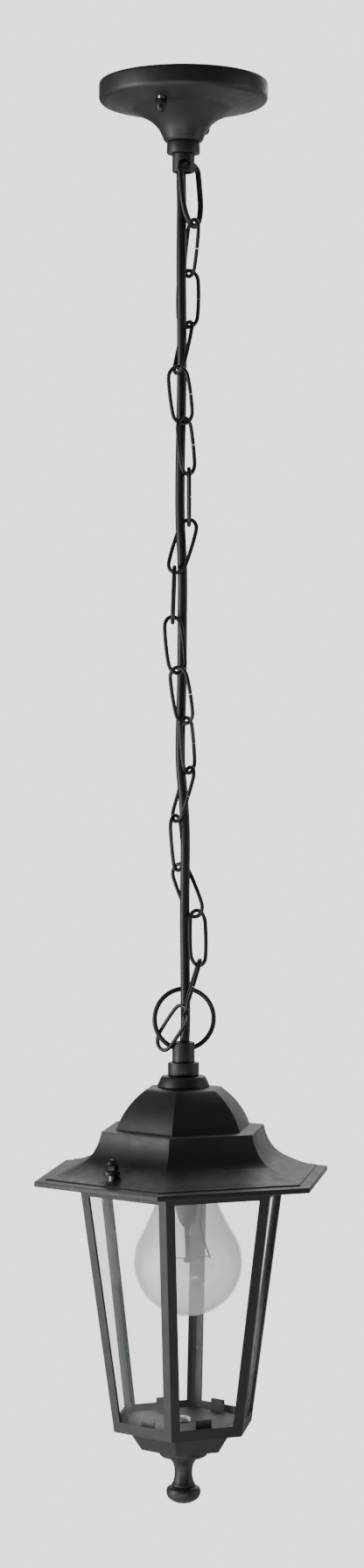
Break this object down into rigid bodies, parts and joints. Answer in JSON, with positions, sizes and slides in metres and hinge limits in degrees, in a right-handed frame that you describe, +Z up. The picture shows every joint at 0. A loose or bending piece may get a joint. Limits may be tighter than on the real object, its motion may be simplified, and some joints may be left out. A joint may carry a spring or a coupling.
{
  "type": "hanging lantern",
  "caption": "Six-sided glazed pendant lantern with a flared roof, hung on a link chain with its supply cable woven through it from a round ceiling canopy.",
  "frame": {"origin": "centre of the ceiling plane, at the middle of the mounting strap's top face", "axes": "+Z up towards the ceiling; one corner of the six-sided lantern points along -Y, the front; +X to the right"},
  "size_m": [0.1502, 0.1734, 0.7842],
  "materials": {
    "powder_coat": "charcoal fine-texture powder coat",
    "satin_black": "satin black",
    "zinc_steel": "zinc plated",
    "flex": "black flex sheath, satin",
    "plastic": "moulded",
    "porcelain": "white glaze",
    "lamp_cap": "pressed cap, bright",
    "lamp_glass": "clear blown glass",
    "lamp_wire": "drawn wire",
    "window_glass": "clear flat glass"
  },
  "bodies": {
    "canopy": {"canopy": "powder_coat", "mounting_strap": "zinc_steel", "canopy_stud_front": "zinc_steel", "canopy_cap_nut_front": "satin_black", "canopy_stud_rear": "zinc_steel", "canopy_cap_nut_rear": "satin_black", "terminal_block": "plastic", "neck_collar": "powder_coat", "neck_lock_nut": "zinc_steel", "loop_stem": "powder_coat", "cord_grip": "plastic", "supply_cable": "flex"},
    "top_loop": {"top_loop": "satin_black"},
    "link_01": {"chain_link_01": "satin_black"},
    "link_02": {"chain_link_02": "satin_black"},
    "link_03": {"chain_link_03": "satin_black"},
    "link_04": {"chain_link_04": "satin_black"},
    "link_05": {"chain_link_05": "satin_black"},
    "link_06": {"chain_link_06": "satin_black"},
    "link_07": {"chain_link_07": "satin_black"},
    "link_08": {"chain_link_08": "satin_black"},
    "link_09": {"chain_link_09": "satin_black"},
    "link_10": {"chain_link_10": "satin_black"},
    "link_11": {"chain_link_11": "satin_black"},
    "link_12": {"chain_link_12": "satin_black"},
    "link_13": {"chain_link_13": "satin_black"},
    "link_14": {"chain_link_14": "satin_black"},
    "link_15": {"chain_link_15": "satin_black"},
    "link_16": {"chain_link_16": "satin_black"},
    "link_17": {"chain_link_17": "satin_black"},
    "ring": {"hanging_ring": "satin_black"},
    "lantern": {"lantern_stem": "powder_coat", "stem_collar": "powder_coat", "roof_cap": "powder_coat", "roof": "powder_coat", "roof_lock_nut": "zinc_steel", "roof_stud_front": "zinc_steel", "roof_spacer_front": "powder_coat", "roof_cap_nut_front": "satin_black", "roof_stud_rear": "zinc_steel", "roof_spacer_rear": "powder_coat", "roof_cap_nut_rear": "satin_black", "cage": "powder_coat", "glass_pane_1": "window_glass", "glass_pane_2": "window_glass", "glass_pane_3": "window_glass", "glass_pane_4": "window_glass", "glass_pane_5": "window_glass", "glass_pane_6": "window_glass", "base_plate": "powder_coat", "base_cover": "powder_coat", "finial": "powder_coat", "finial_screw": "zinc_steel", "lamp_holder": "porcelain", "bulb_cap": "lamp_cap", "bulb_glass": "lamp_glass", "bulb_mount": "lamp_glass", "lead_wire_left": "lamp_wire", "lead_wire_right": "lamp_wire", "filament": "lamp_wire"}
  },
  "joints": [
    {"name": "top_loop_swing", "type": "hinge", "parent": "canopy", "child": "top_loop", "pos_m": [0.00307, -0.00167, -0.0455], "axis": [0.4779, 0.8784, 0], "range_deg": [-15, 15], "deforming": ["supply_cable"]},
    {"name": "link_01_swing", "type": "hinge", "parent": "top_loop", "child": "link_01", "pos_m": [0.00627, -0.00341, -0.08011], "axis": [0.4779, 0.8784, 0], "range_deg": [-8, 8]},
    {"name": "link_02_swing", "type": "hinge", "parent": "link_01", "child": "link_02", "pos_m": [0.00272, 0.00086, -0.10704], "axis": [-0.6366, 0.7443, 0.2018], "range_deg": [-8, 8]},
    {"name": "link_03_swing", "type": "hinge", "parent": "link_02", "child": "link_03", "pos_m": [0.00224, 0.00078, -0.13504], "axis": [0.9874, 0.1573, -0.0175], "range_deg": [-8, 8]},
    {"name": "link_04_swing", "type": "hinge", "parent": "link_03", "child": "link_04", "pos_m": [-0.00197, -0.00818, -0.16123], "axis": [-0.6393, 0.7532, -0.1549], "range_deg": [-8, 8]},
    {"name": "link_05_swing", "type": "hinge", "parent": "link_04", "child": "link_05", "pos_m": [0.00117, -0.00619, -0.18898], "axis": [0.9802, 0.1561, 0.1219], "range_deg": [-8, 8]},
    {"name": "link_06_swing", "type": "hinge", "parent": "link_05", "child": "link_06", "pos_m": [0.00333, -0.00141, -0.21649], "axis": [-0.5732, -0.7985, -0.1839], "range_deg": [-8, 8]},
    {"name": "link_07_swing", "type": "hinge", "parent": "link_06", "child": "link_07", "pos_m": [0.00295, 0.001, -0.24438], "axis": [0.1911, -0.9777, -0.0871], "range_deg": [-8, 8]},
    {"name": "link_08_swing", "type": "hinge", "parent": "link_07", "child": "link_08", "pos_m": [-0.00435, -0.0046, -0.27083], "axis": [-0.928, 0.3217, 0.1879], "range_deg": [-8, 8]},
    {"name": "link_09_swing", "type": "hinge", "parent": "link_08", "child": "link_09", "pos_m": [-0.00461, -0.00908, -0.29847], "axis": [-0.1262, 0.9794, -0.1575], "range_deg": [-8, 8]},
    {"name": "link_10_swing", "type": "hinge", "parent": "link_09", "child": "link_10", "pos_m": [-0.00157, -0.00958, -0.3263], "axis": [-0.7738, -0.6292, -0.0732], "range_deg": [-8, 8]},
    {"name": "link_11_swing", "type": "hinge", "parent": "link_10", "child": "link_11", "pos_m": [0.00244, -0.00697, -0.35388], "axis": [0.9286, -0.3572, 0.101], "range_deg": [-8, 8]},
    {"name": "link_12_swing", "type": "hinge", "parent": "link_11", "child": "link_12", "pos_m": [0.00361, -0.0004, -0.38108], "axis": [-0.4558, -0.8606, -0.2273], "range_deg": [-8, 8]},
    {"name": "link_13_swing", "type": "hinge", "parent": "link_12", "child": "link_13", "pos_m": [-0.00473, 0, -0.4078], "axis": [0.5929, -0.7809, -0.1967], "range_deg": [-8, 8]},
    {"name": "link_14_swing", "type": "hinge", "parent": "link_13", "child": "link_14", "pos_m": [-0.00337, 0.00659, -0.43498], "axis": [-0.3749, -0.8965, -0.2362], "range_deg": [-8, 8]},
    {"name": "link_15_swing", "type": "hinge", "parent": "link_14", "child": "link_15", "pos_m": [0.00774, 0.00151, -0.46017], "axis": [0.8381, -0.3278, 0.4361], "range_deg": [-8, 8]},
    {"name": "link_16_swing", "type": "hinge", "parent": "link_15", "child": "link_16", "pos_m": [0.00933, -0.007, -0.4868], "axis": [-0.662, -0.7245, 0.1919], "range_deg": [-8, 8]},
    {"name": "link_17_swing", "type": "hinge", "parent": "link_16", "child": "link_17", "pos_m": [0.00204, -0.0126, -0.51325], "axis": [0.2659, -0.9554, 0.1288], "range_deg": [-8, 8]},
    {"name": "ring_swing", "type": "hinge", "parent": "link_17", "child": "ring", "pos_m": [-0.0095, -0.00023, -0.53055], "axis": [0.7454, 0.2869, -0.6018], "range_deg": [-10, 5]},
    {"name": "lantern_swing", "type": "hinge", "parent": "ring", "child": "lantern", "pos_m": [-0.00012, 0.00338, -0.53392], "axis": [0.9333, 0.3592, 0], "range_deg": [-15, 15]}
  ]
}
